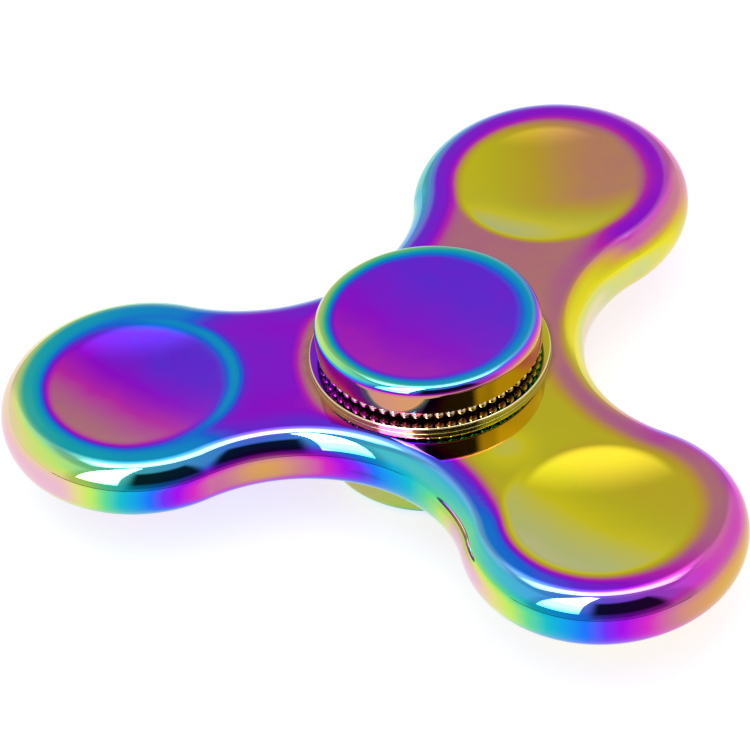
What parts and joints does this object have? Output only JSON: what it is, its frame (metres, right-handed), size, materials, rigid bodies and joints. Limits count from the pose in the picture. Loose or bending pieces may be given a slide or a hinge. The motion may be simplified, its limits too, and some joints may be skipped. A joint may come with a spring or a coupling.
{
  "type": "fidget spinner",
  "caption": "Three-lobed hand spinner with a thumb dish in each lobe, turning on a shielded ball bearing between two knurled, dished finger buttons.",
  "frame": {"origin": "centre of the bearing, on the spin axis and in the body's middle plane", "axes": "+Z along the spin axis, up through the top button; +Y towards one lobe; +X across the other two lobes"},
  "size_m": [0.075, 0.0685, 0.0156],
  "materials": {
    "rainbow_plating": "mirror-polished zinc casting with a rainbow interference coating, violet, blue, teal, yellow-green and gold",
    "button_plating": "mirror-polished with a rainbow interference coating, mostly violet with a blue to green rim",
    "bearing_steel": "ground bearing steel",
    "ball_steel": "polished bearing balls",
    "cage_steel": "stamped steel strip",
    "shield_steel": "stamped satin steel",
    "spring_steel": "drawn spring wire"
  },
  "bodies": {
    "buttons": {"top_cap": "button_plating", "bottom_cap": "button_plating", "bearing_inner_ring": "bearing_steel"},
    "rotor": {"spinner_body": "rainbow_plating", "bearing_outer_ring": "bearing_steel", "upper_shield": "shield_steel", "lower_shield": "shield_steel", "upper_snap_ring": "spring_steel", "lower_snap_ring": "spring_steel"},
    "cage": {"cage_upper_half": "cage_steel", "cage_lower_half": "cage_steel"},
    "ball_01_body": {"ball_01": "ball_steel"},
    "ball_02_body": {"ball_02": "ball_steel"},
    "ball_03_body": {"ball_03": "ball_steel"},
    "ball_04_body": {"ball_04": "ball_steel"},
    "ball_05_body": {"ball_05": "ball_steel"},
    "ball_06_body": {"ball_06": "ball_steel"},
    "ball_07_body": {"ball_07": "ball_steel"},
    "ball_08_body": {"ball_08": "ball_steel"},
    "ball_09_body": {"ball_09": "ball_steel"},
    "ball_10_body": {"ball_10": "ball_steel"}
  },
  "joints": [
    {"name": "rotor_spin", "type": "hinge", "parent": "buttons", "child": "rotor", "pos_m": [0, 0, 0], "axis": [0, 0, 1], "continuous": true},
    {"name": "cage_orbit", "type": "hinge", "parent": "buttons", "child": "cage", "pos_m": [0, 0, 0], "axis": [0, 0, 1], "continuous": true},
    {"name": "ball_01_roll", "type": "hinge", "parent": "cage", "child": "ball_01_body", "pos_m": [0.00476, 0, 0], "axis": [0, 0, 1], "continuous": true},
    {"name": "ball_02_roll", "type": "hinge", "parent": "cage", "child": "ball_02_body", "pos_m": [0.00385, 0.0028, 0], "axis": [0, 0, 1], "continuous": true},
    {"name": "ball_03_roll", "type": "hinge", "parent": "cage", "child": "ball_03_body", "pos_m": [0.00147, 0.00453, 0], "axis": [0, 0, 1], "continuous": true},
    {"name": "ball_04_roll", "type": "hinge", "parent": "cage", "child": "ball_04_body", "pos_m": [-0.00147, 0.00453, 0], "axis": [0, 0, 1], "continuous": true},
    {"name": "ball_05_roll", "type": "hinge", "parent": "cage", "child": "ball_05_body", "pos_m": [-0.00385, 0.0028, 0], "axis": [0, 0, 1], "continuous": true},
    {"name": "ball_06_roll", "type": "hinge", "parent": "cage", "child": "ball_06_body", "pos_m": [-0.00476, 0, 0], "axis": [0, 0, 1], "continuous": true},
    {"name": "ball_07_roll", "type": "hinge", "parent": "cage", "child": "ball_07_body", "pos_m": [-0.00385, -0.0028, 0], "axis": [0, 0, 1], "continuous": true},
    {"name": "ball_08_roll", "type": "hinge", "parent": "cage", "child": "ball_08_body", "pos_m": [-0.00147, -0.00453, 0], "axis": [0, 0, 1], "continuous": true},
    {"name": "ball_09_roll", "type": "hinge", "parent": "cage", "child": "ball_09_body", "pos_m": [0.00147, -0.00453, 0], "axis": [0, 0, 1], "continuous": true},
    {"name": "ball_10_roll", "type": "hinge", "parent": "cage", "child": "ball_10_body", "pos_m": [0.00385, -0.0028, 0], "axis": [0, 0, 1], "continuous": true}
  ],
  "couplings": [
    {"joint": "cage_orbit", "follows": "rotor_spin", "ratio": 0.58336},
    {"joint": "ball_01_roll", "follows": "rotor_spin", "ratio": 2.9157},
    {"joint": "ball_02_roll", "follows": "rotor_spin", "ratio": 2.9157},
    {"joint": "ball_03_roll", "follows": "rotor_spin", "ratio": 2.9157},
    {"joint": "ball_04_roll", "follows": "rotor_spin", "ratio": 2.9157},
    {"joint": "ball_05_roll", "follows": "rotor_spin", "ratio": 2.9157},
    {"joint": "ball_06_roll", "follows": "rotor_spin", "ratio": 2.9157},
    {"joint": "ball_07_roll", "follows": "rotor_spin", "ratio": 2.9157},
    {"joint": "ball_08_roll", "follows": "rotor_spin", "ratio": 2.9157},
    {"joint": "ball_09_roll", "follows": "rotor_spin", "ratio": 2.9157},
    {"joint": "ball_10_roll", "follows": "rotor_spin", "ratio": 2.9157}
  ]
}
